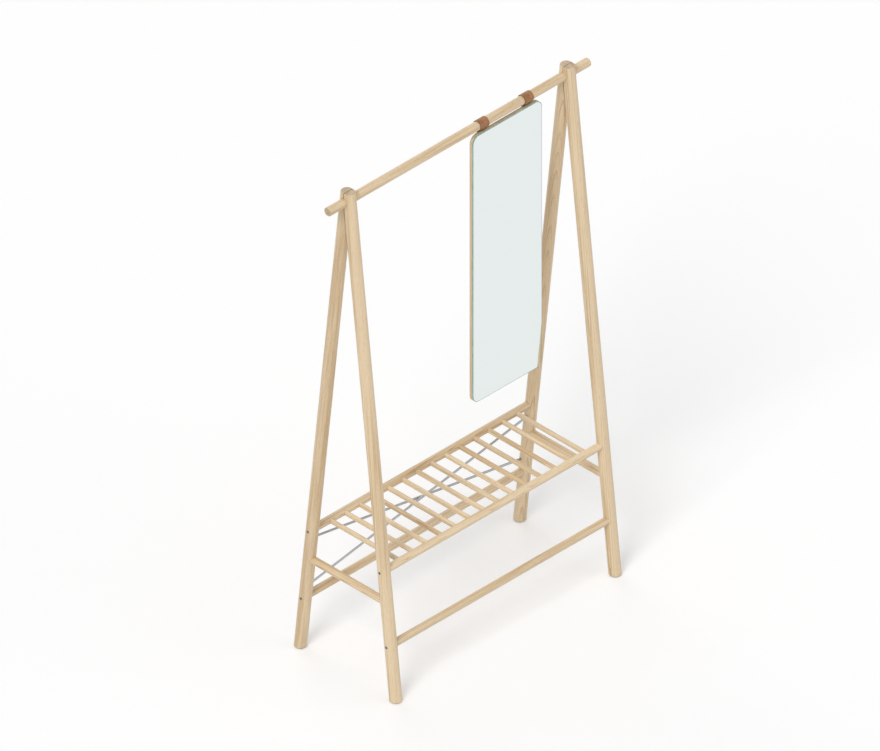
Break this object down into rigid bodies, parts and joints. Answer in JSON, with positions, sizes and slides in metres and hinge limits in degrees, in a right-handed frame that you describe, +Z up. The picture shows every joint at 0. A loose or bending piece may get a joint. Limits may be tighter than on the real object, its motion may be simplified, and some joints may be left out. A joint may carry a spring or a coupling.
{
  "type": "coat stand with mirror",
  "caption": "Free-standing A-frame coat stand of round wood with a hanging rail, a slatted shoe shelf and a frameless mirror that hangs from the rail in leather straps.",
  "frame": {"origin": "on the floor, in the middle between the four feet", "axes": "+X along the hanging rail towards the side where the mirror hangs, -Y is the front that the mirror faces, +Z up"},
  "size_m": [1.13, 0.4548, 1.81],
  "materials": {
    "leg_wood": "pale ash, oiled, fine straight grain",
    "rail_wood": "pale ash, oiled, fine straight grain",
    "slat_wood": "pale ash, oiled, fine straight grain",
    "board_core": "birch plywood, sanded, with its plies showing at the edge",
    "mirror_glass": "silvered glass with a ground edge",
    "tape": "white foam tape",
    "leather": "natural tan leather with dark burnished edges",
    "steel": "zinc-plated steel",
    "insert_brass": "plain brass",
    "felt": "grey wool felt"
  },
  "bodies": {
    "frame": {"brace_rod_a": "steel", "brace_rod_b": "steel", "foot_pad_front_left": "felt", "foot_pad_front_right": "felt", "foot_pad_rear_left": "felt", "foot_pad_rear_right": "felt", "frame_bolts_left": "steel", "frame_bolts_right": "steel", "hanging_rail": "rail_wood", "leg_front_left": "leg_wood", "leg_front_right": "leg_wood", "leg_rear_left": "leg_wood", "leg_rear_right": "leg_wood", "lower_front_rail": "rail_wood", "lower_rear_rail": "rail_wood", "pair_dowels_left": "rail_wood", "pair_dowels_right": "rail_wood", "rail_inserts_left": "insert_brass", "rail_inserts_right": "insert_brass", "rail_lock_screws": "steel", "shelf_front_rail": "rail_wood", "shelf_rear_rail": "rail_wood", "shelf_slat_01": "slat_wood", "shelf_slat_02": "slat_wood", "shelf_slat_03": "slat_wood", "shelf_slat_04": "slat_wood", "shelf_slat_05": "slat_wood", "shelf_slat_06": "slat_wood", "shelf_slat_07": "slat_wood", "shelf_slat_08": "slat_wood", "shelf_slat_09": "slat_wood", "shelf_slat_10": "slat_wood", "shelf_slat_11": "slat_wood", "shelf_slat_12": "slat_wood", "shelf_slat_13": "slat_wood", "shelf_slat_14": "slat_wood", "side_stretcher_left": "rail_wood", "side_stretcher_right": "rail_wood"},
    "strap_loops": {"strap_loop_left": "leather", "strap_loop_right": "leather"},
    "mirror": {"strap_tail_left": "leather", "strap_tail_right": "leather", "strap_screws": "steel", "strap_washers": "steel", "mirror_glass": "mirror_glass", "mirror_tape": "tape", "mirror_board": "board_core"}
  },
  "joints": [
    {"name": "mirror_slide", "type": "slide", "parent": "frame", "child": "strap_loops", "axis": [1, 0, 0], "range_m": [-0.495, 0.098]},
    {"name": "mirror_swing", "type": "hinge", "parent": "strap_loops", "child": "mirror", "pos_m": [0.1985, 0, 1.776], "axis": [1, 0, 0], "range_deg": [-45, 45]}
  ]
}
